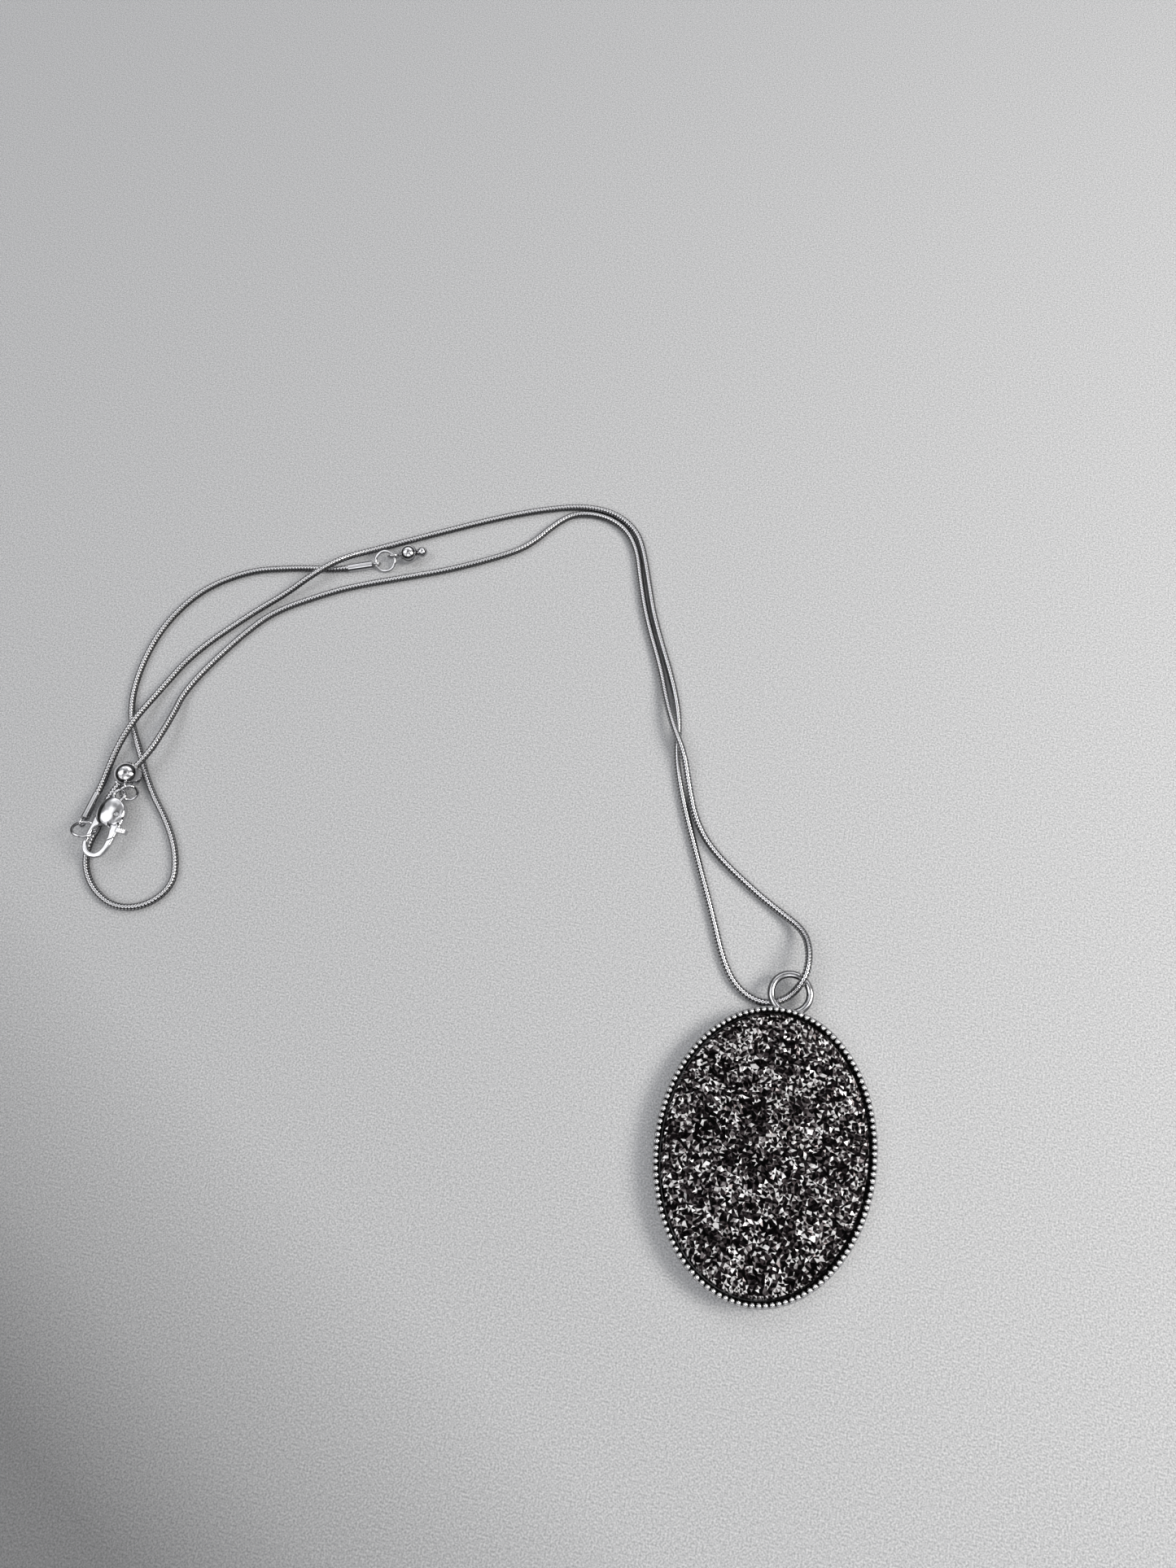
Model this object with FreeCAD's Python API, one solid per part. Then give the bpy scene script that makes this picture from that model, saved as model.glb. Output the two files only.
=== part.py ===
"""Pendant necklace: druzy cabochon in a beaded oval tray, on a snake chain with a slider clasp.

Row frame, millimetres. The origin is the middle of the pendant's flat back, +Y runs along
the pendant's long axis towards the bail and +Z points up out of the stone. Each separate
piece is written to parts/ as its own STEP file.
"""
import FreeCAD
import Part
import math
import os

V = FreeCAD.Vector

# ---- chain -----------------------------------------------------------------------------
CHAIN_R = 0.6
BORE_CLEARANCE = 0.05

# The chain as it lies, from the clasp's end cap to the tail's end cap. Humps carry it over
# the strands it crosses; between points 30 and 33 it threads the bail, and the long
# straight run before BEAD_RUN_END goes through the slider bead.
ROUTE = [
    (-119.68, 31.7, 1.42), (-119.66, 35.9, 0.66), (-119.4, 40.6, 1.1), (-118.5, 44.2, 2.0), (-117.6, 48.3, 2.0),
    (-115.7, 54.5, 1.0), (-112.4, 63.0, 0.6), (-104.2, 72.8, 0.6), (-99.2, 77.4, 1.0), (-95.4, 81.1, 2.1),
    (-92.3, 84.4, 2.1), (-89.8, 86.9, 1.4), (-85.5, 89.6, 0.6), (-76.2, 94.4, 0.6), (-62.4, 101.2, 0.6),
    (-53.0, 104.5, 0.6), (-47.7, 105.3, 0.6), (-42.9, 104.5, 0.6), (-38.9, 101.6, 0.6), (-36.9, 97.8, 0.6),
    (-34.6, 91.0, 0.6), (-32.4, 84.4, 0.6), (-26.5, 72.0, 0.6), (-24.4, 65.3, 0.6), (-23.9, 59.3, 0.6),
    (-21.3, 51.5, 0.6), (-17.5, 42.9, 0.6), (-13.4, 33.8, 0.6), (-10.3, 26.3, 0.6), (-7.4, 22.7, 0.6),
    (-3.4, 21.2, 0.6), (0.2, 22.6, 1.6), (2.2, 25.8, 4.4), (2.3, 30.4, 3.3), (0.9, 33.9, 1.5),
    (-3.0, 36.2, 0.7), (-7.2, 38.6, 0.6), (-15.0, 44.0, 0.6), (-18.7, 48.8, 0.6), (-20.9, 54.5, 1.2),
    (-22.5, 59.4, 2.0), (-25.2, 64.0, 2.0), (-27.4, 69.0, 1.2), (-29.5, 75.0, 0.6), (-33.8, 84.2, 0.6),
    (-36.3, 91.5, 0.6), (-38.15, 97.7, 0.6), (-41.0, 101.8, 0.6), (-45.3, 103.8, 0.6), (-50.4, 103.6, 0.6),
    (-53.7, 101.0, 0.6), (-57.7, 95.2, 0.6), (-62.2, 92.2, 0.6), (-70.6, 87.9, 0.6), (-78.0, 85.0, 0.6),
    (-87.3, 81.4, 0.6), (-92.3, 78.8, 0.6), (-100.3, 73.8, 0.6), (-104.6, 68.2, 0.6), (-109.3, 60.1, 0.6),
    (-111.4, 54.7, 0.8), (-111.3, 51.4, 1.5), (-111.5, 46.9, 2.5), (-112.35, 41.9, 3.02), (-117.2, 33.87, 1.99),
    (-117.4, 29.3, 0.6), (-118.2, 25.0, 0.6), (-117.1, 21.1, 0.6), (-114.2, 17.8, 0.6), (-109.7, 15.8, 0.6), (-104.7, 17.0, 0.6),
    (-101.4, 21.0, 0.6), (-102.3, 25.8, 0.6), (-105.6, 31.1, 0.6), (-111.5, 37.1, 0.6), (-116.0, 43.95, 0.6),
    (-119.3, 48.7, 0.6), (-120.9, 55.2, 0.6), (-120.6, 63.4, 0.6), (-118.5, 70.2, 0.6), (-114.3, 76.5, 0.6),
    (-107.4, 81.1, 0.6), (-101.7, 82.6, 0.6), (-96.4, 83.7, 0.6), (-91.25, 84.09, 0.7), (-87.09, 85.56, 0.75),
]
BEAD_RUN_END = 64

# ---- pendant ---------------------------------------------------------------------------
STONE_A = 15.0
STONE_B = 20.0
STONE_GAP = 0.1
WALL = 1.0
FLOOR = 0.8
RIM_Z = 2.75
STRIP = 0.15
RIM_BEADS = 122
RIM_BEAD_R = 0.40
PAD = 0.2
STONE_GIRDLE = 1.1
STONE_SHOULDER = 2.5
STONE_BEVEL = 0.65
STONE_DOME = 0.9

BAIL_C = (0.40, 23.42, 2.42)
BAIL_R = 2.95
BAIL_WIRE_R = 0.575

# ---- chain ends ------------------------------------------------------------------------
CAP_R = 0.75
CAP_LENGTH = 4.9
TAIL_CAP_LENGTH = 4.4
CAP_GRIP = 2.4
EYE_R = 0.72
EYE_WIRE_R = 0.2
EYE_REACH = 0.72
TAIL_EYE_ROLL = 22

JUMP_R = 1.8
JUMP_WIRE_R = 0.27
CAP_RING_R = 1.96
CAP_RING_C = (-118.49, 27.25, 2.74)
CAP_RING_N = (0.125, 0.609, 0.783)
TAIL_RING_C = (-82.95, 87.2, 1.08)
TAIL_RING_TILT = 25

# ---- tail drop -------------------------------------------------------------------------
DROP_ANGLE = 38
DROP_HEADING = 18
DROP_LOOP_R = 0.92
DROP_WIRE_R = 0.24
TAIL_BALL_R = 1.65
SMALL_BALL_R = 0.95
BALL_OVERLAP = 0.1

# ---- lobster clasp: p across, q from the hook's bottom to the eye, w up -----------------
LOBSTER_FOOT = (-115.36, 22.78, 2.72)
LOBSTER_TURN = -3.98
EYE_Q = 11.35
EYE_LINK_R = 0.95
EYE_LINK_WIRE_R = 0.3
BAR = 0.38
BAR_ROUND = 0.25
DOME_C = (-0.08, 8.4)
DOME = (2.65, 3.2, 1.2)
OUTLINE = [
    (-0.3, 0.0), (-1.7, 0.45), (-2.55, 1.6), (-2.72, 3.2), (-2.62, 5.2), (-2.5, 7.4), (-2.0, 9.3), (-1.1, 10.5),
    (0.1, 10.6), (1.2, 10.2), (2.1, 9.2), (2.42, 7.8), (2.4, 6.0), (2.25, 4.0), (2.0, 2.0), (1.1, 0.4),
]
OPENING = [
    (-0.35, 0.85), (-1.3, 1.25), (-1.82, 2.3), (-1.88, 4.0), (-1.5, 5.3), (-0.4, 5.85), (0.55, 5.45),
    (1.02, 4.2), (1.05, 3.0), (0.75, 1.6),
]
PIVOT = (1.35, 7.9)
TIP_FACE = ((1.0, 3.2), (2.2, 4.1))
GAP_LEFT = 0.42
GATE_LEFT = 1.0
GATE_GAP = 0.06
GATE_RADIUS = 1.75
TONGUE = 0.35
SLOT = 0.42
PIN_R = 0.3
PIN_HALF = 0.95
SPRING_WIRE_R = 0.07
SPRING_R = 0.5

# ---- slider bead -----------------------------------------------------------------------
BEAD_AT = 0.492
BEAD_R = 2.25
BEAD_HALF = 1.9
COLLAR_R = 1.15
COLLAR = 0.12
CORE_R = 0.95
LOOP_REACH = 2.78
LOOP_R = 0.66
LOOP_WIRE_R = 0.2
LOOP_OUT = (0.417, -0.803, 0.426)
LOOP_AXIS = (-0.902, -0.425, 0.081)
LINK_RING_C = (-113.34, 34.89, 2.58)
LINK_RING_N = (0.513, -0.672, 0.534)
LINK_RING_R = 1.35
LINK_RING_WIRE_R = 0.25


def unit(v):
    """The vector v at length one."""
    return V(v).multiply(1 / V(v).Length)


def tube(points, radius):
    """A round cord along straight runs joined by tangent arcs; prints the tightest bend."""
    points = [V(*p) for p in points]
    edges = []
    radii = []
    start = points[0]
    for before, corner, after in zip(points, points[1:], points[2:]):
        back = before - corner
        ahead = after - corner
        turn = math.pi - back.getAngle(ahead)
        cut = 0.45 * min(back.Length, ahead.Length)
        bend = cut / math.tan(turn / 2)
        into = corner + unit(back) * cut
        out = corner + unit(ahead) * cut
        inward = unit(unit(back) + unit(ahead))
        middle = corner + inward * (math.hypot(cut, bend) - bend)
        edges.append(Part.LineSegment(start, into).toShape())
        edges.append(Part.Arc(into, middle, out).toShape())
        radii.append(bend)
        start = out
    edges.append(Part.LineSegment(start, points[-1]).toShape())
    path = Part.Wire(edges)
    ring = Part.Wire([Part.Circle(points[0], points[1] - points[0], radius).toShape()])
    solid = path.makePipeShell([ring], True, True)
    ideal = math.pi * radius ** 2 * path.Length
    print("chain length %.1f, tightest bend %.2f, volume over ideal %.4f" % (path.Length, min(radii), solid.Volume / ideal))
    print("bend radii", " ".join("%.1f" % r for r in radii))
    return solid


def torus(centre, axis, big, small):
    """A ring of round wire."""
    return Part.makeTorus(big, small, V(*centre), V(*axis))


def rod(start, end, radius):
    """A cylinder between two points."""
    return Part.makeCylinder(radius, (end - start).Length, start, end - start)


def oval(a, b, low, high):
    """An upright oval block with half-widths a and b."""
    curve = Part.Ellipse(V(0, b, low), V(a, 0, low), V(0, 0, low))
    return Part.Face(Part.Wire([curve.toShape()])).extrude(V(0, 0, high - low))


def bezel_tray():
    """The cup the stone sits in."""
    outer = oval(STONE_A + STONE_GAP + WALL, STONE_B + STONE_GAP + WALL, 0, RIM_Z)
    return outer.cut(oval(STONE_A + STONE_GAP, STONE_B + STONE_GAP, FLOOR, RIM_Z + 1))


def even_places(a, b, count):
    """Points spaced evenly by length round an oval."""
    steps = 3600
    spots = [V(a * math.cos(2 * math.pi * i / steps), b * math.sin(2 * math.pi * i / steps), 0) for i in range(steps + 1)]
    run = [0]
    for here, there in zip(spots, spots[1:]):
        run.append(run[-1] + (there - here).Length)
    places = []
    i = 0
    for k in range(count):
        while run[i + 1] <= run[-1] * k / count:
            i += 1
        places.append(spots[i])
    return places


def rim_beads():
    """The beaded edge: a row of domes standing on a thin strip."""
    a = STONE_A + STONE_GAP
    b = STONE_B + STONE_GAP
    top = RIM_Z + STRIP
    strip = oval(a + WALL, b + WALL, RIM_Z, top).cut(oval(a, b, RIM_Z - 1, top + 1))
    domes = []
    for spot in even_places(a + WALL / 2, b + WALL / 2, RIM_BEADS):
        domes.append(Part.makeSphere(RIM_BEAD_R, spot + V(0, 0, top), V(0, 0, 1), 0, 90))
    return strip.multiFuse(domes)


def cabochon():
    """The stone: flat back, upright girdle, bevelled shoulder and a low dome."""
    base = FLOOR + PAD
    lip = STONE_A - STONE_BEVEL
    shoulder = base + STONE_SHOULDER
    outline = [V(0, 0, base), V(STONE_A, 0, base), V(STONE_A, 0, base + STONE_GIRDLE), V(lip, 0, shoulder)]
    edges = [Part.LineSegment(p, q).toShape() for p, q in zip(outline, outline[1:])]
    half_way = lip / 2
    sphere_r = (lip ** 2 + STONE_DOME ** 2) / (2 * STONE_DOME)
    mid_z = shoulder + STONE_DOME - sphere_r + math.sqrt(sphere_r ** 2 - half_way ** 2)
    top = V(0, 0, shoulder + STONE_DOME)
    edges.append(Part.Arc(V(lip, 0, shoulder), V(half_way, 0, mid_z), top).toShape())
    edges.append(Part.LineSegment(top, outline[0]).toShape())
    round_stone = Part.Face(Part.Wire(edges)).revolve(V(0, 0, 0), V(0, 0, 1), 360)
    stretch = FreeCAD.Matrix()
    stretch.A22 = STONE_B / STONE_A
    return round_stone.transformGeometry(stretch)


def adhesive_pad():
    """The glue between tray and stone."""
    return oval(STONE_A - 1.5, STONE_B - 1.5, FLOOR, FLOOR + PAD)


def bail_ring():
    """The fixed ring at the top of the pendant, trimmed flush to the tray's wall."""
    ring = torus(BAIL_C, (0, 0, 1), BAIL_R, BAIL_WIRE_R)
    wall = oval(STONE_A + STONE_GAP + WALL, STONE_B + STONE_GAP + WALL, -1, 9)
    return ring.cut(wall)


def end_cap(inside, outside, length, roll):
    """A crimp cap gripping the chain's end, with an eye rolled about the cap's axis."""
    inside = V(*inside)
    axis = unit(inside - V(*outside))
    mouth = inside - axis * CAP_GRIP
    back = mouth + axis * length
    shell = rod(mouth, back, CAP_R).cut(rod(mouth, inside, CHAIN_R))
    level = unit(V(0, 0, 1).cross(axis))
    turn = FreeCAD.Rotation(axis, roll)
    return shell.fuse(torus(back + axis * EYE_REACH, turn.multVec(level), EYE_R, EYE_WIRE_R))


def tail_ring_axes():
    """The tail ring's level direction and the direction it climbs in."""
    tilt = math.radians(TAIL_RING_TILT)
    return V(1, 0, 0), V(0, math.cos(tilt), math.sin(tilt))


def drop_frame():
    """Where the tail drop's loop hangs on the ring, its axis and the loop's hole axis."""
    level, climb = tail_ring_axes()
    angle = math.radians(DROP_ANGLE)
    hang = V(*TAIL_RING_C) + (level * math.cos(angle) + climb * math.sin(angle)) * JUMP_R
    tangent = climb * math.cos(angle) - level * math.sin(angle)
    heading = math.radians(DROP_HEADING)
    reach = DROP_LOOP_R + DROP_WIRE_R + TAIL_BALL_R
    rise = TAIL_BALL_R - hang.z
    flat = math.sqrt(reach ** 2 - rise ** 2)
    axis = unit(V(flat * math.cos(heading), flat * math.sin(heading), rise))
    hole = unit(tangent - axis * tangent.dot(axis))
    return hang, axis, hole


def tail_ball_centres():
    """The centres of the larger and the smaller ball."""
    hang, axis, hole = drop_frame()
    big = hang + axis * (DROP_LOOP_R + DROP_WIRE_R + TAIL_BALL_R)
    small = big + axis * (TAIL_BALL_R + SMALL_BALL_R - BALL_OVERLAP)
    return big, small


def tail_eye_pin():
    """The pin with its loop; the shank runs through both balls."""
    hang, axis, hole = drop_frame()
    big, small = tail_ball_centres()
    loop = torus(hang, hole, DROP_LOOP_R, DROP_WIRE_R)
    return loop.fuse(rod(hang + axis * DROP_LOOP_R, small, DROP_WIRE_R))


def tail_ball():
    """The larger ball, bored for the pin."""
    hang, axis, hole = drop_frame()
    big, small = tail_ball_centres()
    ball = Part.makeSphere(TAIL_BALL_R, big)
    return ball.cut(rod(hang, small, DROP_WIRE_R))


def tail_small_ball():
    """The smaller ball, closed at its tip and cupped where it meets the larger one."""
    hang, axis, hole = drop_frame()
    big, small = tail_ball_centres()
    ball = Part.makeSphere(SMALL_BALL_R, small).cut(Part.makeSphere(TAIL_BALL_R, big))
    return ball.cut(rod(hang, small, DROP_WIRE_R))


def place_lobster(shape):
    """Move a shape from the clasp's own axes to where the clasp lies."""
    turn = FreeCAD.Rotation(V(0, 0, 1), LOBSTER_TURN)
    shape.Placement = FreeCAD.Placement(V(*LOBSTER_FOOT), turn).multiply(shape.Placement)
    return shape


def slab(points, half, smooth):
    """A plate centred on w = 0 with a straight-sided or a smooth closed outline."""
    corners = [V(p, q, -half) for p, q in points]
    if smooth:
        curve = Part.BSplineCurve()
        curve.interpolate(Points=corners, PeriodicFlag=True)
        wire = Part.Wire([curve.toShape()])
    else:
        wire = Part.makePolygon(corners + corners[:1])
    return Part.Face(wire).extrude(V(0, 0, 2 * half))


def pivot_disc(radius, half):
    """A disc on the trigger's pivot."""
    return Part.makeCylinder(radius, 2 * half, V(PIVOT[0], PIVOT[1], -half))


def pivot_wedge(first, last, radius, half):
    """A slice of a disc on the pivot between two bearings, degrees from +p."""
    count = 12
    rim = [first + (last - first) * i / count for i in range(count + 1)]
    points = [PIVOT]
    for bearing in rim:
        angle = math.radians(bearing)
        points.append((PIVOT[0] + radius * math.cos(angle), PIVOT[1] + radius * math.sin(angle)))
    return slab(points, half, False)


def gate_region(gap, left, half):
    """The part of the clasp's outline taken up by the gate, shrunk by a gap."""
    (p0, q0), (p1, q1) = TIP_FACE
    slope = (q1 - q0) / (p1 - p0)
    lift = gap * math.hypot(1, slope)
    right = 4.0
    corners = [(left, q0 + slope * (left - p0) + lift), (right, q0 + slope * (right - p0) + lift), (right, 8), (left, 8)]
    return slab(corners, half, False).cut(pivot_disc(GATE_RADIUS + gap, 2 * half))


def clasp_plate():
    """The clasp's bar shape with its hook opening, its long edges rounded."""
    plate = slab(OUTLINE, BAR, True).cut(slab(OPENING, 2 * BAR, True))
    rims = [edge for edge in plate.Edges if edge.BoundBox.ZLength < 0.01]
    return plate.makeFillet(BAR_ROUND, rims)


def clasp_dome():
    """The swollen middle of the clasp, kept inside its outline."""
    ball = Part.makeSphere(1)
    stretch = FreeCAD.Matrix()
    stretch.A11, stretch.A22, stretch.A33 = DOME
    ball = ball.transformGeometry(stretch)
    ball.translate(V(DOME_C[0], DOME_C[1], 0))
    return ball.common(slab(OUTLINE, DOME[2], True)).cut(slab(OPENING, 2 * DOME[2], True))


def lobster_body():
    """Hook, domed body and eye in one casting, slotted for the trigger."""
    body = clasp_plate().fuse(clasp_dome())
    body = body.cut(gate_region(0, GAP_LEFT, 2))
    eye = torus((-0.15, EYE_Q, 0), (0, 0, 1), EYE_LINK_R, EYE_LINK_WIRE_R)
    body = body.fuse(eye)
    body = body.cut(pivot_disc(0.78, SLOT)).cut(pivot_wedge(218, 300, 2.6, SLOT))
    body = body.cut(pivot_disc(PIN_R, 3))
    pocket = Part.makeCylinder(SPRING_R + 0.15, 0.36, V(PIVOT[0], PIVOT[1], TONGUE))
    return place_lobster(body.cut(pocket))


def lobster_trigger():
    """Gate, tongue in the body's slot and ridged thumb knob."""
    gate = clasp_plate().common(gate_region(GATE_GAP, GATE_LEFT, 2))
    tongue = pivot_disc(0.7, TONGUE).fuse(pivot_wedge(257, 290, 2.3, TONGUE))
    knob = Part.makeBox(1.65, 0.85, 1.2, V(2.1, 5.1, -0.6))
    for i in range(3):
        knob = knob.cut(Part.makeBox(0.16, 2, 0.14, V(2.75 + 0.33 * i, 4.5, 0.46)))
    trigger = gate.fuse(tongue).fuse(knob)
    return place_lobster(trigger.cut(pivot_disc(PIN_R + BORE_CLEARANCE, 3)))


def trigger_pin():
    """The pin the trigger turns on."""
    return place_lobster(pivot_disc(PIN_R, PIN_HALF))


def trigger_spring():
    """The return spring's coil, in its pocket round the pin."""
    coil = Part.makeHelix(0.17, 0.34 - 2 * SPRING_WIRE_R, SPRING_R)
    start = coil.Edges[0].valueAt(coil.Edges[0].FirstParameter)
    along = coil.Edges[0].tangentAt(coil.Edges[0].FirstParameter)
    ring = Part.Wire([Part.Circle(start, along, SPRING_WIRE_R).toShape()])
    spring = Part.Wire(coil.Edges).makePipeShell([ring], True, True)
    spring.translate(V(PIVOT[0], PIVOT[1], TONGUE + 0.01 + SPRING_WIRE_R))
    return place_lobster(spring)


def bead_frame():
    """The slider bead's centre and its axis up the chain."""
    start = V(*ROUTE[BEAD_RUN_END - 1])
    end = V(*ROUTE[BEAD_RUN_END])
    return start + (end - start) * BEAD_AT, unit(start - end)


def slider_bead():
    """The bead: a ball cut off square at both mouths, with a thin collar round each."""
    centre, axis = bead_frame()
    ball = Part.makeSphere(BEAD_R, centre)
    ball = ball.common(rod(centre - axis * BEAD_HALF, centre + axis * BEAD_HALF, BEAD_R + 1))
    collars = rod(centre - axis * (BEAD_HALF + COLLAR), centre + axis * (BEAD_HALF + COLLAR), COLLAR_R)
    return ball.fuse(collars).cut(rod(centre - axis * 4, centre + axis * 4, CORE_R))


def slider_core():
    """The silicone tube that grips the chain."""
    centre, axis = bead_frame()
    reach = BEAD_HALF + COLLAR
    core = rod(centre - axis * reach, centre + axis * reach, CORE_R)
    return core.cut(rod(centre - axis * 4, centre + axis * 4, CHAIN_R + BORE_CLEARANCE))


def slider_loop():
    """The loop on the bead's side, trimmed to the ball."""
    centre, axis = bead_frame()
    loop = torus(centre + V(*LOOP_OUT) * LOOP_REACH, LOOP_AXIS, LOOP_R, LOOP_WIRE_R)
    return loop.cut(Part.makeSphere(BEAD_R, centre))


def tail_jump_ring():
    """The ring between the tail cap and the drop."""
    level, climb = tail_ring_axes()
    return torus(TAIL_RING_C, level.cross(climb), JUMP_R, JUMP_WIRE_R)


def build():
    """Make every piece, check it is one sound solid and write it out."""
    pieces = {
        "snake_chain": tube(ROUTE, CHAIN_R),
        "clasp_end_cap": end_cap(ROUTE[0], ROUTE[1], CAP_LENGTH, 0),
        "tail_end_cap": end_cap(ROUTE[-1], ROUTE[-2], TAIL_CAP_LENGTH, TAIL_EYE_ROLL),
        "clasp_cap_ring": torus(CAP_RING_C, CAP_RING_N, CAP_RING_R, JUMP_WIRE_R),
        "lobster_body": lobster_body(),
        "lobster_trigger": lobster_trigger(),
        "trigger_pin": trigger_pin(),
        "trigger_spring": trigger_spring(),
        "lobster_ring": torus(LINK_RING_C, LINK_RING_N, LINK_RING_R, LINK_RING_WIRE_R),
        "slider_bead": slider_bead(),
        "slider_core": slider_core(),
        "slider_loop": slider_loop(),
        "tail_jump_ring": tail_jump_ring(),
        "tail_eye_pin": tail_eye_pin(),
        "tail_ball": tail_ball(),
        "tail_small_ball": tail_small_ball(),
        "bezel_tray": bezel_tray(),
        "rim_beads": rim_beads(),
        "cabochon": cabochon(),
        "adhesive_pad": adhesive_pad(),
        "bail_ring": bail_ring(),
    }
    os.makedirs("parts", exist_ok=True)
    for name, shape in pieces.items():
        box = shape.BoundBox
        print("%-16s solids %d valid %s volume %.2f z %.2f to %.2f" % (
            name, len(shape.Solids), shape.isValid(), shape.Volume, box.ZMin, box.ZMax))
        shape.exportStep("parts/%s.step" % name)


build()
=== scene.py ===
import math
import random

import bpy
import numpy as np
from mathutils import Matrix, Vector, geometry, noise


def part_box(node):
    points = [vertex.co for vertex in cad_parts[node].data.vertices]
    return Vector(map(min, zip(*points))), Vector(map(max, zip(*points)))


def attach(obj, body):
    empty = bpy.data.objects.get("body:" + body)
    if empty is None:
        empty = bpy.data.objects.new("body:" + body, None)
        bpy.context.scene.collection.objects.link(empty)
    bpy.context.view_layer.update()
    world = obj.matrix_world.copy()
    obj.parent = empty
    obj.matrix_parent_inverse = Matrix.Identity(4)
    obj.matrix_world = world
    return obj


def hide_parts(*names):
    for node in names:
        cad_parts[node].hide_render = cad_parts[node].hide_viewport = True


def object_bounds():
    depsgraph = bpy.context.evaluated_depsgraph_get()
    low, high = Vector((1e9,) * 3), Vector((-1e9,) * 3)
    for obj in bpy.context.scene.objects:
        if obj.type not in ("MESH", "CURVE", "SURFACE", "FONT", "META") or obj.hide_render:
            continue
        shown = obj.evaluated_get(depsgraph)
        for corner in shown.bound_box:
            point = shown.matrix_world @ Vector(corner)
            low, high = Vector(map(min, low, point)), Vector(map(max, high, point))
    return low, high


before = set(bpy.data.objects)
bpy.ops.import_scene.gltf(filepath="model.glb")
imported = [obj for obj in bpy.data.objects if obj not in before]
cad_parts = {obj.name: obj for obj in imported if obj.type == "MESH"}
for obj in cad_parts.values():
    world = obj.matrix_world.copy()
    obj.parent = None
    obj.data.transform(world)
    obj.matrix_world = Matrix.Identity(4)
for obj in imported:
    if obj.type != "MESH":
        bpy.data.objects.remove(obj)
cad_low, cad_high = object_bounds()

MM = 0.001

# ---- the chain: the control points of the CAD tube's route, in metres ------------------------
CHAIN_RADIUS = 0.0006
ROUTE = [
    (-0.11968, 0.0317, 0.00142), (-0.11966, 0.0359, 0.00066), (-0.1194, 0.0406, 0.0011),
    (-0.1185, 0.0442, 0.002), (-0.1176, 0.0483, 0.002), (-0.1157, 0.0545, 0.001),
    (-0.1124, 0.063, 0.0006), (-0.1042, 0.0728, 0.0006), (-0.0992, 0.0774, 0.001),
    (-0.0954, 0.0811, 0.0021), (-0.0923, 0.0844, 0.0021), (-0.0898, 0.0869, 0.0014),
    (-0.0855, 0.0896, 0.0006), (-0.0762, 0.0944, 0.0006), (-0.0624, 0.1012, 0.0006),
    (-0.053, 0.1045, 0.0006), (-0.0477, 0.1053, 0.0006), (-0.0429, 0.1045, 0.0006),
    (-0.0389, 0.1016, 0.0006), (-0.0369, 0.0978, 0.0006), (-0.0346, 0.091, 0.0006),
    (-0.0324, 0.0844, 0.0006), (-0.0265, 0.072, 0.0006), (-0.0244, 0.0653, 0.0006),
    (-0.0239, 0.0593, 0.0006), (-0.0213, 0.0515, 0.0006), (-0.0175, 0.0429, 0.0006),
    (-0.0134, 0.0338, 0.0006), (-0.0103, 0.0263, 0.0006), (-0.0074, 0.0227, 0.0006),
    (-0.0034, 0.0212, 0.0006), (0.0002, 0.0226, 0.0016), (0.0022, 0.0258, 0.0044),
    (0.0023, 0.0304, 0.0033), (0.0009, 0.0339, 0.0015), (-0.003, 0.0362, 0.0007),
    (-0.0072, 0.0386, 0.0006), (-0.015, 0.044, 0.0006), (-0.0187, 0.0488, 0.0006),
    (-0.0209, 0.0545, 0.0012), (-0.0225, 0.0594, 0.002), (-0.0252, 0.064, 0.002),
    (-0.0274, 0.069, 0.0012), (-0.0295, 0.075, 0.0006), (-0.0338, 0.0842, 0.0006),
    (-0.0363, 0.0915, 0.0006), (-0.03815, 0.0977, 0.0006), (-0.041, 0.1018, 0.0006),
    (-0.0453, 0.1038, 0.0006), (-0.0504, 0.1036, 0.0006), (-0.0537, 0.101, 0.0006),
    (-0.0577, 0.0952, 0.0006), (-0.0622, 0.0922, 0.0006), (-0.0706, 0.0879, 0.0006),
    (-0.078, 0.085, 0.0006), (-0.0873, 0.0814, 0.0006), (-0.0923, 0.0788, 0.0006),
    (-0.1003, 0.0738, 0.0006), (-0.1046, 0.0682, 0.0006), (-0.1093, 0.0601, 0.0006),
    (-0.1114, 0.0547, 0.0008), (-0.1113, 0.0514, 0.0015), (-0.1115, 0.0469, 0.0025),
    (-0.11235, 0.0419, 0.00302), (-0.1172, 0.03387, 0.00199), (-0.1174, 0.0293, 0.0006),
    (-0.1182, 0.025, 0.0006), (-0.1171, 0.0211, 0.0006), (-0.1142, 0.0178, 0.0006),
    (-0.1097, 0.0158, 0.0006), (-0.1047, 0.017, 0.0006), (-0.1014, 0.021, 0.0006),
    (-0.1023, 0.0258, 0.0006), (-0.1056, 0.0311, 0.0006), (-0.1115, 0.0371, 0.0006),
    (-0.116, 0.04395, 0.0006), (-0.1193, 0.0487, 0.0006), (-0.1209, 0.0552, 0.0006),
    (-0.1206, 0.0634, 0.0006), (-0.1185, 0.0702, 0.0006), (-0.1143, 0.0765, 0.0006),
    (-0.1074, 0.0811, 0.0006), (-0.1017, 0.0826, 0.0006), (-0.0964, 0.0837, 0.0006),
    (-0.09125, 0.08409, 0.0007), (-0.08709, 0.08556, 0.00075),
]
LINE_POINTS_PER_BEND = 16
TANGENT_REACH = 0.4 * MM

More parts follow.
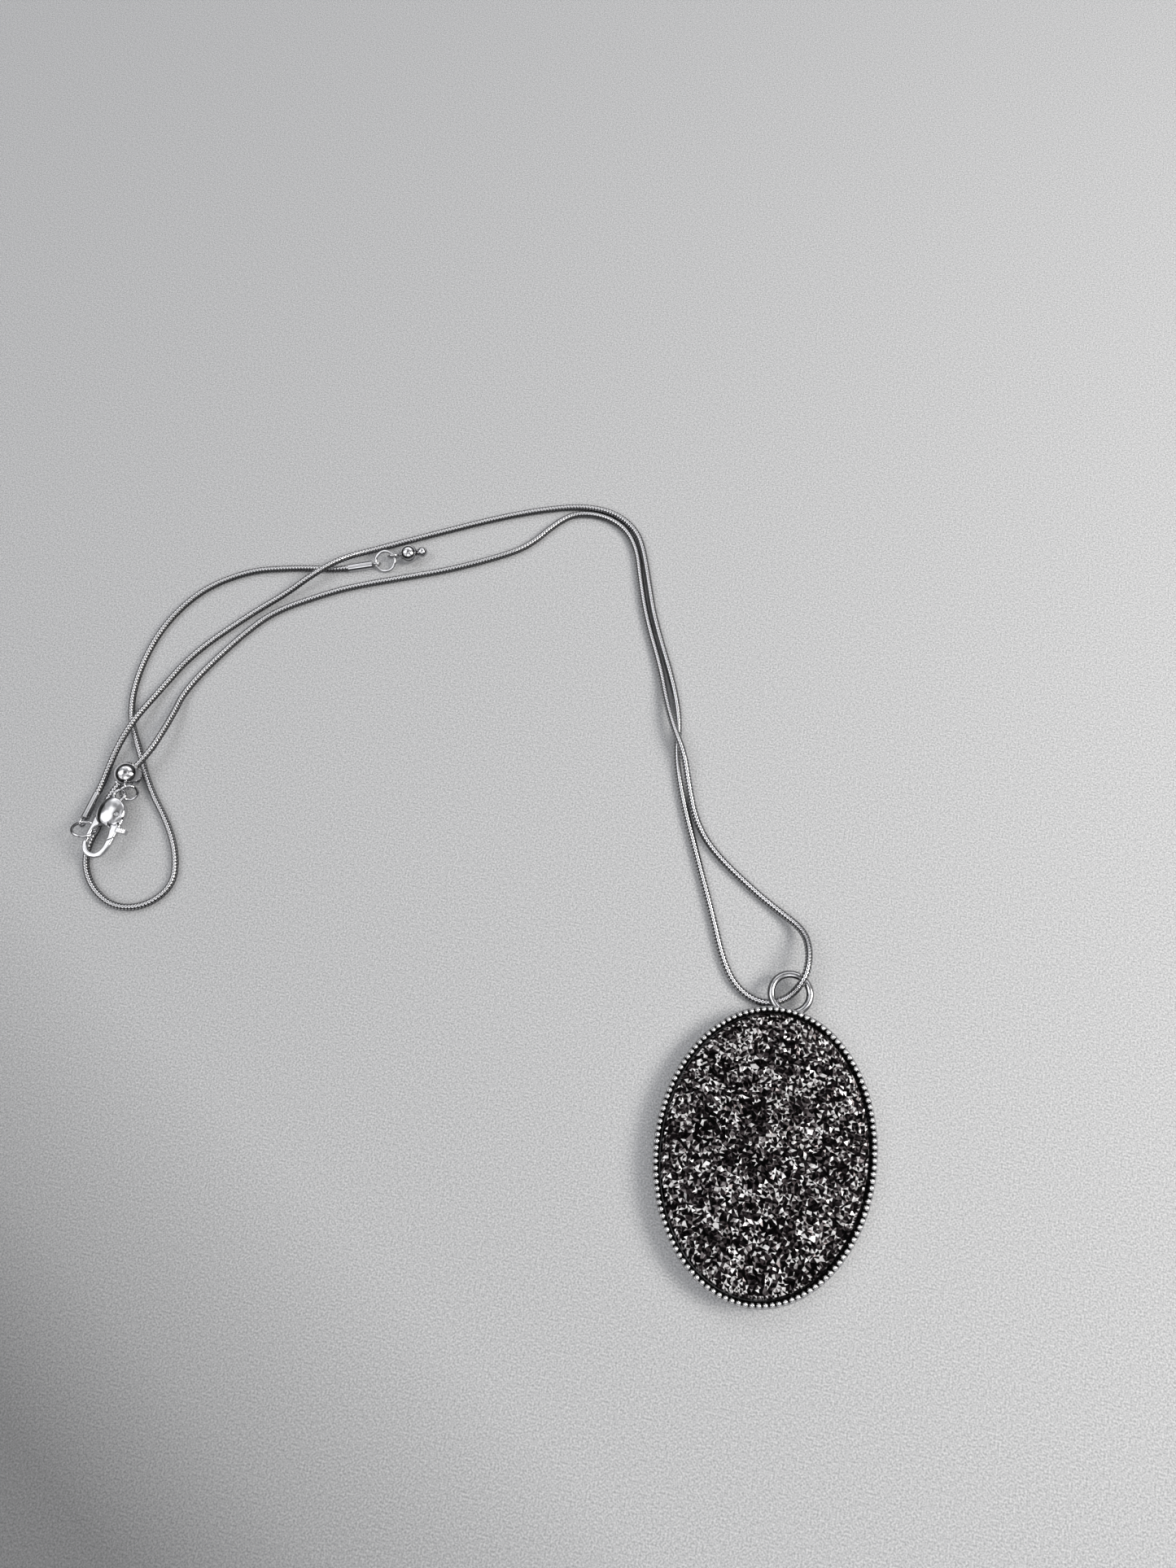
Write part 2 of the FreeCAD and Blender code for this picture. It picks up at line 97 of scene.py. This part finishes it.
# ---- the chain's weave: V-shaped joints, as shares of a link or of the chain's radius ----------
LINK_PITCH = 0.56 * MM
LINK_WAVES = 4
LINK_SIDES = 16
RINGS_PER_LINK = 7
GROOVE_DEPTH = 0.24
JOINT_WIDTH = 0.28
JOINT_LEAN = 0.9
SEAM_WIDTH = 0.1
SEAM_DEPTH = 0.6

# ---- the stone: its grains, its outline from the girdle up, and its patches of tone ------------
GRAIN = 0.46 * MM
GRAIN_HEIGHT = 0.16 * MM
GRAIN_JITTER = 0.42
GRAIN_ROWS = 0.87
STONE_BEVEL = 0.65 * MM
BEVEL_POINTS = 300
BEVEL_BULGE = 0.9
BEVEL_ROUGHNESS = 0.05 * MM
STONE_DOME = 0.9 * MM
STONE_SHOULDER = 1.4 * MM
STONE_GIRDLE = 1.1 * MM
PATCHES_PER_METRE = 260
FLECKS_PER_METRE = 1500
SPARKLE_SHARE = 0.1

# ---- the clasp's castings --------------------------------------------------------------------
CAST_VOXEL = 0.06 * MM
CAST_SMOOTHING = 3

# ---- the beads: how far under their tops the gaps and the rubbed caps lie --------------------
BEAD_GAP = 0.40 * MM
BEAD_CAP = 0.06 * MM

# ---- camera, table and light -----------------------------------------------------------------
CAMERA_PLACE = (-0.0146, -0.0087, 0.17095)
CAMERA_RIGHT = (0.9766, 0.2076, -0.0573)
CAMERA_UP = (-0.1751, 0.9203, 0.3498)
CAMERA_FORWARD = (-0.1254, 0.3316, -0.9351)
CAMERA_LENS = 24.98
TABLE_REACH = 1.2
# The table's shade deepens this way; the length sets how much it gains in each metre.
SHADE_TOWARDS = (-5.0, -8.7, 0)
KEY_PLACE = (0.36, 0.1, 0.34)
KEY_SIZE = 0.25
KEY_POWER = 1.5
FILL_PLACE = (-0.5, 0.35, 0.45)
FILL_SIZE = 0.4
FILL_POWER = 0.05
WORLD_STRENGTH = 0.88
BACKDROP = (0.78, 0.79, 0.8)

# ---- the colour sockets of a Mix node, which has a set for each kind of data -----------------
MIX_FIRST = 6
MIX_SECOND = 7
MIX_RESULT = 2


def material(name, color, metallic, roughness):
    """A new material and its Principled shader, with plain starting values."""
    mat = bpy.data.materials.new(name)
    mat.use_nodes = True
    mat.diffuse_color = (*color, 1)
    shader = mat.node_tree.nodes["Principled BSDF"]
    shader.inputs["Base Color"].default_value = (*color, 1)
    shader.inputs["Metallic"].default_value = metallic
    shader.inputs["Roughness"].default_value = roughness
    return mat, shader


def node(mat, kind, **values):
    """A new node with its inputs or properties set by name."""
    made = mat.node_tree.nodes.new(kind)
    for key, value in values.items():
        if key in made.inputs:
            made.inputs[key].default_value = value
        else:
            setattr(made, key, value)
    return made


def link(mat, source, target):
    """Joins an output socket to an input socket."""
    mat.node_tree.links.new(source, target)


def coordinates(mat, kind):
    """Where a spot of the surface is, in the object's own space, or which way it faces."""
    return node(mat, "ShaderNodeTexCoord").outputs[kind]


def split_height(mat, vector):
    """The Z part of a vector."""
    made = node(mat, "ShaderNodeSeparateXYZ")
    link(mat, vector, made.inputs["Vector"])
    return made.outputs["Z"]


def multiply(mat, first, second):
    """The product of two colours."""
    made = node(mat, "ShaderNodeMix", data_type="RGBA", blend_type="MULTIPLY")
    made.inputs["Factor"].default_value = 1.0
    link(mat, first, made.inputs[MIX_FIRST])
    link(mat, second, made.inputs[MIX_SECOND])
    return made.outputs[MIX_RESULT]


def fade_to(mat, factor, first, color):
    """The first colour where the factor is 0, and a plain colour where it is 1."""
    made = node(mat, "ShaderNodeMix", data_type="RGBA")
    made.inputs[MIX_SECOND].default_value = (*color, 1)
    link(mat, factor, made.inputs["Factor"])
    link(mat, first, made.inputs[MIX_FIRST])
    return made.outputs[MIX_RESULT]


def object_noise(mat, scale, detail=3.0, stretch=(1, 1, 1)):
    """Noise in the object's own space; scale is in features per metre."""
    mapping = node(mat, "ShaderNodeMapping", Scale=stretch)
    texture = node(mat, "ShaderNodeTexNoise", Scale=scale, Detail=detail)
    link(mat, coordinates(mat, "Object"), mapping.inputs["Vector"])
    link(mat, mapping.outputs["Vector"], texture.inputs["Vector"])
    return texture.outputs["Fac"]


def ramp(mat, source, stops):
    """A colour ramp over a value; stops are (place, colour)."""
    made = node(mat, "ShaderNodeValToRGB")
    elements = made.color_ramp.elements
    elements[0].position = stops[0][0]
    elements[0].color = (*stops[0][1], 1)
    elements[1].position = stops[-1][0]
    elements[1].color = (*stops[-1][1], 1)
    for place, color in stops[1:-1]:
        elements.new(place).color = (*color, 1)
    link(mat, source, made.inputs["Fac"])
    return made.outputs["Color"]


def grey(value):
    """A grey with a trace of blue."""
    return (value, value, value * 1.01)


def bump(mat, shader, height, strength, distance):
    """Small relief; distance is its height in metres."""
    made = node(mat, "ShaderNodeBump", Strength=strength, Distance=distance)
    link(mat, height, made.inputs["Height"])
    link(mat, made.outputs["Normal"], shader.inputs["Normal"])


def paint_flank_shade(mat, shader, worn, flanks):
    """Colour with painted shade: clean where the piece faces up or down, and darkened by painted shade on
    its flanks.
    """
    facing = node(mat, "ShaderNodeMath", operation="ABSOLUTE")
    link(mat, split_height(mat, coordinates(mat, "Normal")), facing.inputs[0])
    # painted shade on the flanks, set by which way the surface faces
    flank_shade = ramp(mat, facing.outputs["Value"], flanks)
    link(mat, multiply(mat, worn, flank_shade), shader.inputs["Base Color"])


def bright_plate():
    """Polished silver plate with faint handling marks and painted shade on its flanks."""
    mat, shader = material("bright_plate", grey(0.86), 1.0, 0.1)
    marks = ramp(mat, object_noise(mat, 900, 6), [(0.35, grey(0.8)), (0.6, grey(0.93))])
    # painted shade on the flanks
    paint_flank_shade(mat, shader, marks, [(0.1, grey(0.6)), (0.45, grey(0.3)), (0.72, grey(1.0))])
    polish = ramp(mat, object_noise(mat, 2600, 4), [(0.3, grey(0.05)), (0.75, grey(0.14))])
    link(mat, polish, shader.inputs["Roughness"])
    bump(mat, shader, object_noise(mat, 900, 2), 0.03, 0.00001)
    return mat


def chain_plate():
    """Bright links with dark joints, and painted shade on their flanks; the mesh carries how deep each spot
    lies in a joint.
    """
    mat, shader = material("chain_plate", grey(0.85), 1.0, 0.18)
    depth = node(mat, "ShaderNodeAttribute", attribute_name="joint").outputs["Fac"]
    stops = [(0.0, grey(1.0)), (0.36, grey(0.97)), (0.58, grey(0.05)), (1.0, grey(0.003))]
    # dark joints, with painted shade on the flanks
    paint_flank_shade(mat, shader, ramp(mat, depth, stops), [(0.38, grey(0.09)), (0.62, grey(1.0))])
    link(mat, ramp(mat, depth, [(0.2, grey(0.06)), (0.9, grey(0.5))]), shader.inputs["Roughness"])
    return mat


def antique_plate():
    """Antiqued silver: mid-grey cast metal, brighter where it is rubbed, with painted shade on its flanks.
    """
    mat, shader = material("antique_plate", grey(0.5), 1.0, 0.3)
    cast = ramp(mat, object_noise(mat, 1500, 6), [(0.3, grey(0.5)), (0.5, grey(0.75)), (0.68, grey(0.9))])
    # painted shade on the flanks
    paint_flank_shade(mat, shader, cast, [(0.05, grey(0.8)), (0.35, grey(0.08)), (0.58, grey(0.12)), (0.8, grey(1.0))])
    polish = ramp(mat, object_noise(mat, 3000, 3), [(0.3, grey(0.1)), (0.7, grey(0.2))])
    link(mat, polish, shader.inputs["Roughness"])
    bump(mat, shader, object_noise(mat, 900, 3), 0.06, 0.00001)
    return mat


def bead_plate():
    """The rim's beads: bright caps that fall to black oxide between them, and a rubbed outer lip."""
    mat, shader = material("bead_plate", grey(0.75), 1.0, 0.2)
    place = coordinates(mat, "Object")
    low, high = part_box("rim_beads")
    height = node(mat, "ShaderNodeMapRange")
    height.inputs["From Min"].default_value = high.z - BEAD_GAP
    height.inputs["From Max"].default_value = high.z - BEAD_CAP
    link(mat, split_height(mat, place), height.inputs["Value"])
    stops = [(0.0, grey(0.006)), (0.3, grey(0.05)), (0.6, grey(0.85)), (1.0, grey(1.0))]
    beads = ramp(mat, height.outputs["Result"], stops)
    across = node(mat, "ShaderNodeVectorMath", operation="MULTIPLY")
    across.inputs[1].default_value = (1 / high.x, 1 / high.y, 0)
    link(mat, place, across.inputs[0])
    outward = node(mat, "ShaderNodeVectorMath", operation="LENGTH")
    link(mat, across.outputs["Vector"], outward.inputs[0])
    lip = ramp(mat, outward.outputs["Value"], [(0.986, (0, 0, 0)), (0.991, (1, 1, 1))])
    link(mat, fade_to(mat, lip, beads, (0.85, 0.85, 0.86)), shader.inputs["Base Color"])
    polish = ramp(mat, object_noise(mat, 3000, 3), [(0.3, grey(0.12)), (0.7, grey(0.3))])
    link(mat, polish, shader.inputs["Roughness"])
    return mat


def pin_steel():
    """Drawn steel wire, with fine lines along it."""
    mat, shader = material("pin_steel", grey(0.55), 1.0, 0.3)
    drawn = object_noise(mat, 3000, 4, (1, 1, 0.1))
    link(mat, ramp(mat, drawn, [(0.35, grey(0.42)), (0.65, grey(0.66))]), shader.inputs["Base Color"])
    bump(mat, shader, drawn, 0.2, 0.00003)
    return mat


def silicone():
    """Cloudy white rubber."""
    mat, shader = material("silicone", (0.8, 0.8, 0.78), 0.0, 0.45)
    shader.inputs["Subsurface Weight"].default_value = 0.2
    shader.inputs["Subsurface Radius"].default_value = (0.0006, 0.0006, 0.0005)
    cloudy = ramp(mat, object_noise(mat, 1200, 3), [(0.3, (0.72, 0.72, 0.7)), (0.7, (0.86, 0.86, 0.83))])
    link(mat, cloudy, shader.inputs["Base Color"])
    return mat


def adhesive():
    """Dried yellowish glue."""
    mat, shader = material("adhesive", (0.74, 0.72, 0.64), 0.0, 0.6)
    dried = object_noise(mat, 700, 4)
    tones = ramp(mat, dried, [(0.3, (0.62, 0.6, 0.52)), (0.7, (0.82, 0.8, 0.72))])
    link(mat, tones, shader.inputs["Base Color"])
    bump(mat, shader, dried, 0.4, 0.0002)
    return mat


def druzy():
    """Charcoal resin set with glitter: each facet carries its own tone."""
    mat, shader = material("druzy", (0.1, 0.095, 0.097), 0.35, 0.2)
    tone = node(mat, "ShaderNodeAttribute", attribute_name="glitter").outputs["Fac"]
    stops = [
        (0.0, (0.001, 0.001, 0.001)), (0.32, (0.008, 0.006, 0.007)), (0.52, (0.036, 0.029, 0.031)),
        (0.72, (0.22, 0.198, 0.202)), (0.84, (0.85, 0.83, 0.83)), (1.0, (1.0, 1.0, 1.0)),
    ]
    link(mat, ramp(mat, tone, stops), shader.inputs["Base Color"])
    link(mat, ramp(mat, tone, [(0.0, grey(0.35)), (0.8, grey(0.12))]), shader.inputs["Roughness"])
    shader.inputs["Specular IOR Level"].default_value = 0.03
    return mat


def table_top():
    """Pale, lightly textured surface, with soft shade over its near left."""
    mat, shader = material("table_top", (0.62, 0.625, 0.635), 0.0, 0.7)
    grain = ramp(mat, object_noise(mat, 3800, 2), [(0.3, (0.42, 0.43, 0.442)), (0.7, (0.84, 0.845, 0.855))])
    nearness = node(mat, "ShaderNodeVectorMath", operation="DOT_PRODUCT")
    nearness.inputs[1].default_value = SHADE_TOWARDS
    link(mat, coordinates(mat, "Object"), nearness.inputs[0])
    stops = [(0.0, (1.0,) * 3), (0.5, (0.97,) * 3), (0.8, (0.7,) * 3), (1.0, (0.4,) * 3)]
    shade = ramp(mat, nearness.outputs["Value"], stops)
    link(mat, multiply(mat, grain, shade), shader.inputs["Base Color"])
    bump(mat, shader, object_noise(mat, 1500, 3), 0.12, 0.0001)
    return mat


def mesh_object(name, points, faces, smooth):
    """A new mesh object in the scene."""
    mesh = bpy.data.meshes.new(name)
    mesh.from_pydata(points, [], faces)
    mesh.polygons.foreach_set("use_smooth", [smooth] * len(mesh.polygons))
    mesh.update()
    made = bpy.data.objects.new(name, mesh)
    bpy.context.scene.collection.objects.link(made)
    return made


# ---- camera ----------------------------------------------------------------------------------
def make_camera():
    """Above and a little in front of the necklace, tilted forward and rolled slightly."""
    data = bpy.data.cameras.new("camera")
    data.sensor_width = 36
    data.lens = CAMERA_LENS
    data.clip_start = 0.005
    camera = bpy.data.objects.new("camera", data)
    turn = Matrix((CAMERA_RIGHT, CAMERA_UP, -Vector(CAMERA_FORWARD))).transposed().to_4x4()
    camera.matrix_world = Matrix.Translation(CAMERA_PLACE) @ turn
    bpy.context.scene.collection.objects.link(camera)
    bpy.context.scene.camera = camera


# ---- chain -----------------------------------------------------------------------------------
def chain_line():
    """The chain's centreline: a NURBS spline through the route's control points."""
    curve = bpy.data.curves.new("chain_route", "CURVE")
    curve.dimensions = "3D"
    curve.resolution_u = LINE_POINTS_PER_BEND
    spline = curve.splines.new("NURBS")
    spline.points.add(len(ROUTE) - 1)
    for spot, point in zip(spline.points, ROUTE):
        spot.co = (*point, 1)
    spline.order_u = 3
    spline.use_endpoint_u = True
    holder = bpy.data.objects.new("chain_route", curve)
    mesh = bpy.data.meshes.new_from_object(holder)
    line = np.array([v.co for v in mesh.vertices], float)
    bpy.data.objects.remove(holder)
    bpy.data.meshes.remove(mesh)
    return line


def along(line, spots):
    """Points at the given distances along a line."""
    steps = np.linalg.norm(np.diff(line, axis=0), axis=1)
    run = np.concatenate(([0], np.cumsum(steps)))
    return np.stack([np.interp(spots, run, line[:, k]) for k in range(3)], axis=1)


def line_length(line):
    """The line's whole length."""
    return float(np.linalg.norm(np.diff(line, axis=0), axis=1).sum())


def unit(vectors):
    """The same directions, each of length 1."""
    return vectors / np.linalg.norm(vectors, axis=1)[:, None]


def joint_depth(spots, angles):
    """How deep each spot of the tube lies in a joint, from 0 on a link to 1 at a joint's middle."""
    lobe = np.abs((angles * LINK_WAVES / (2 * math.pi)) % 1 - 0.5) * 2
    phase = (spots[:, None] / LINK_PITCH + JOINT_LEAN * lobe[None, :]) % 1
    joint = np.clip(1 - np.abs(phase - 0.5) / JOINT_WIDTH, 0, 1)
    return np.maximum(joint, SEAM_DEPTH * (lobe < SEAM_WIDTH)[None, :])


def tube_faces(rings, sides):
    """Quads round a tube of point rings, and its two end caps."""
    faces = []
    for ring in range(rings - 1):
        base = ring * sides
        for k in range(sides):
            after = (k + 1) % sides
            faces.append((base + k, base + after, base + sides + after, base + sides + k))
    faces.append(tuple(range(sides))[::-1])
    faces.append(tuple(range((rings - 1) * sides, rings * sides)))
    return faces


def snake_links(line):
    """The woven tube of links: V-shaped joints run round it at every pitch."""
    length = line_length(line)
    rings = int(length / LINK_PITCH * RINGS_PER_LINK)
    spots = np.linspace(0, length, rings)
    centre = along(line, spots)
    before = along(line, np.clip(spots - TANGENT_REACH, 0, length))
    ahead = unit(along(line, np.clip(spots + TANGENT_REACH, 0, length)) - before)
    side = unit(np.cross(ahead, (0, 0, 1)))
    over = np.cross(side, ahead)
    angles = np.arange(LINK_SIDES) * 2 * math.pi / LINK_SIDES
    joint = joint_depth(spots, angles)
    radius = CHAIN_RADIUS * (1 - GROOVE_DEPTH * joint)
    sideways = np.cos(angles)[None, :, None] * side[:, None, :]
    upward = np.sin(angles)[None, :, None] * over[:, None, :]
    points = (centre[:, None, :] + radius[:, :, None] * (sideways + upward)).reshape(-1, 3)
    made = mesh_object("snake_links", points.tolist(), tube_faces(rings, LINK_SIDES), True)
    layer = made.data.attributes.new("joint", "FLOAT", "POINT")
    layer.data.foreach_set("value", joint.reshape(-1))
    return made


def make_chain():
    """The chain's links, and the line that they follow."""
    line = chain_line()
    made = snake_links(line)
    made.data.materials.append(chain_plate())
    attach(made, "chain")
    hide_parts("snake_chain")
    return made, line


# ---- stone -----------------------------------------------------------------------------------
def stone_top(outward):
    """Height of the smooth stone under its grains; outward is 0 in the middle and 1 at the bevel."""
    return STONE_DOME * (1 - min(outward, 1) ** 2)


def druzy_points(a, b):
    """Jittered grain corners in rows, inside an oval of half-widths a and b."""
    dice = random.Random(7)
    inset = 0.25 * GRAIN / (a + STONE_BEVEL)
    found = []
    row = -b - STONE_BEVEL
    while row < b + STONE_BEVEL:
        spot = -a - STONE_BEVEL
        while spot < a + STONE_BEVEL:
            x = spot + dice.uniform(-GRAIN_JITTER, GRAIN_JITTER) * GRAIN
            y = row + dice.uniform(-GRAIN_JITTER, GRAIN_JITTER) * GRAIN
            if math.hypot(x / a, y / b) < 1 - inset:
                found.append((x, y))
            spot += GRAIN
        row += GRAIN * GRAIN_ROWS
    return found


def oval_points(a, b, count):
    """Points round an oval, at even steps of angle."""
    angles = [2 * math.pi * k / count for k in range(count)]
    return [(a * math.cos(angle), b * math.sin(angle)) for angle in angles]


def crust(a, b, shoulder, top, dice):
    """The stone's upper face: facets over an oval, the oval's own points, and the facets' corners."""
    outline = oval_points(a, b, BEVEL_POINTS)
    flat = [Vector(point) for point in druzy_points(a, b) + outline]
    meshed = geometry.delaunay_2d_cdt(flat, [], [], 0, 1e-7)
    spots = meshed[0]
    faces = [tuple(cell) for cell in meshed[2]]
    outward = [math.hypot(spot.x / a, spot.y / b) for spot in spots]
    points = []
    for spot, out in zip(spots, outward):
        lift = dice.uniform(-1, 0.9) * GRAIN_HEIGHT if out < 0.995 else -0.5 * GRAIN_HEIGHT
        points.append((spot.x, spot.y, min(shoulder + stone_top(out) + lift, top)))
    edge = [i for i, out in enumerate(outward) if out > 0.998]
    edge.sort(key=lambda i: math.atan2(points[i][1] / (b + STONE_BEVEL), points[i][0] / (a + STONE_BEVEL)))
    return points, faces, edge


def make_stone():
    """A crust of small crystal facets on a low dome, with a bevelled edge and a smooth girdle."""
    low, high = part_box("cabochon")
    a = high.x - STONE_BEVEL
    b = high.y - STONE_BEVEL
    girdle = low.z + STONE_GIRDLE
    dice = random.Random(11)
    points, faces, edge = crust(a, b, girdle + STONE_SHOULDER, high.z, dice)
    last = edge
    bands = (
        (0.5 * STONE_BEVEL, girdle + BEVEL_BULGE * STONE_SHOULDER, BEVEL_ROUGHNESS),
        (STONE_BEVEL, girdle, 0.0),
        (STONE_BEVEL, girdle - STONE_GIRDLE, 0.0),
    )
    for reach, height, roughness in bands:
        band = []
        for i in edge:
            x = points[i][0] / a * (a + reach)
            y = points[i][1] / b * (b + reach)
            points.append((x, y, height + dice.uniform(-1, 1) * roughness))
            band.append(len(points) - 1)
        for k in range(len(edge)):
            after = (k + 1) % len(edge)
            faces.append((last[k], band[k], band[after]))
            faces.append((last[k], band[after], last[after]))
        last = band
    faces.append(tuple(last)[::-1])
    made = mesh_object("druzy_stone", points, faces, False)
    layer = made.data.attributes.new("glitter", "FLOAT", "FACE")
    layer.data.foreach_set("value", facet_tones(made.data))
    made.data.materials.append(druzy())
    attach(made, "pendant")
    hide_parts("cabochon")


def cloud(spot, per_metre, layer):
    """Smooth noise over the stone, between about -1 and 1."""
    return noise.noise(Vector((spot.x * per_metre, spot.y * per_metre, layer)))


def facet_tones(mesh):
    """Tone of each facet: mostly charcoal, in loose patches, with scattered sparkles."""
    dice = random.Random(23)
    tones = []
    for face in mesh.polygons:
        patch = cloud(face.center, PATCHES_PER_METRE, 3.1)
        fleck = cloud(face.center, FLECKS_PER_METRE, 9.7)
        tone = 0.3 + 0.18 * patch + 0.28 * fleck + dice.uniform(-0.52, 0.52)
        if dice.random() < SPARKLE_SHARE + 0.08 * patch:
            tone = dice.uniform(0.85, 1.0)
        tones.append(min(max(tone, 0), 1))
    return tones


# ---- the CAD nodes, as they are or as soft castings ------------------------------------------
def dress(name, mat):
    """Gives a CAD node its material."""
    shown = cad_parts[name]
    for slot in shown.material_slots:
        slot.material = mat
    if not shown.material_slots:
        shown.data.materials.append(mat)


def cast_copy(name, body, mat):
    """A copy of a CAD node with the softened edges of a small casting, which stands for it."""
    made = bpy.data.objects.new(name + "_cast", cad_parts[name].data.copy())
    bpy.context.scene.collection.objects.link(made)
    made.data.materials.clear()
    made.data.materials.append(mat)
    remesh = made.modifiers.new("melt", "REMESH")
    remesh.mode = "VOXEL"
    remesh.voxel_size = CAST_VOXEL
    remesh.use_smooth_shade = True
    soften = made.modifiers.new("soften", "SMOOTH")
    soften.factor = 0.5
    soften.iterations = CAST_SMOOTHING
    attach(made, body)
    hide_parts(name)


def dress_nodes():
    """Every CAD node's material, and the two castings that stand for a node."""
    plate = bright_plate()
    cast_copy("lobster_body", "lobster", plate)
    cast_copy("lobster_trigger", "trigger", plate)
    for name in (
        "clasp_end_cap", "tail_end_cap", "clasp_cap_ring", "lobster_ring",
        "slider_bead", "slider_loop", "tail_jump_ring", "tail_eye_pin", "tail_ball", "tail_small_ball",
    ):
        dress(name, plate)
    antique = antique_plate()
    dress("bezel_tray", antique)
    dress("bail_ring", antique)
    dress("rim_beads", bead_plate())
    steel = pin_steel()
    dress("trigger_pin", steel)
    dress("trigger_spring", steel)
    dress("slider_core", silicone())
    dress("adhesive_pad", adhesive())


# ---- floor and light -------------------------------------------------------------------------
def make_floor():
    """The table's top, well past the necklace on every side."""
    corners = [(x * TABLE_REACH, y * TABLE_REACH, 0) for x, y in ((-1, -1), (1, -1), (1, 1), (-1, 1))]
    made = mesh_object("floor", corners, [(0, 1, 2, 3)], False)
    made.data.materials.append(table_top())


def area_light(name, place, aim, size, power, color):
    """A round lamp at a place, turned towards a point."""
    data = bpy.data.lights.new(name, "AREA")
    data.shape = "DISK"
    data.size = size
    data.energy = power
    data.color = color
    made = bpy.data.objects.new(name, data)
    made.location = place
    made.rotation_euler = (aim - Vector(place)).to_track_quat("-Z", "Y").to_euler()
    bpy.context.scene.collection.objects.link(made)


def make_world():
    """A room brighter overhead than low down, in soft patches; the camera sees a plain backdrop."""
    world = bpy.data.worlds.new("studio")
    bpy.context.scene.world = world
    world.use_nodes = True
    around = coordinates(world, "Generated")
    ceiling = ramp(world, split_height(world, around), [
        (0.47, grey(0.04)), (0.6, grey(1.1)), (0.88, grey(1.35)), (0.975, grey(0.95)), (0.998, grey(0.15)),
    ])
    room = node(world, "ShaderNodeTexNoise", Scale=1.7, Detail=1.0)
    link(world, around, room.inputs["Vector"])
    patches = ramp(world, room.outputs["Fac"], [(0.4, grey(0.25)), (0.5, grey(1.0)), (0.6, grey(1.7))])
    seen = node(world, "ShaderNodeLightPath").outputs["Is Camera Ray"]
    back = world.node_tree.nodes["Background"]
    link(world, fade_to(world, seen, multiply(world, ceiling, patches), BACKDROP), back.inputs["Color"])
    back.inputs["Strength"].default_value = WORLD_STRENGTH


def make_light():
    """A warm key from the right, a weak cool fill from the left, and the room."""
    middle = (cad_low + cad_high) / 2
    middle.z = 0
    area_light("key", KEY_PLACE, middle, KEY_SIZE, KEY_POWER, (1.0, 0.97, 0.925))
    area_light("fill", FILL_PLACE, middle, FILL_SIZE, FILL_POWER, (0.93, 0.96, 1.0))
    make_world()
    bpy.context.scene.view_settings.view_transform = "Standard"


make_camera()
chain, chain_path = make_chain()
make_stone()
dress_nodes()
make_floor()
make_light()
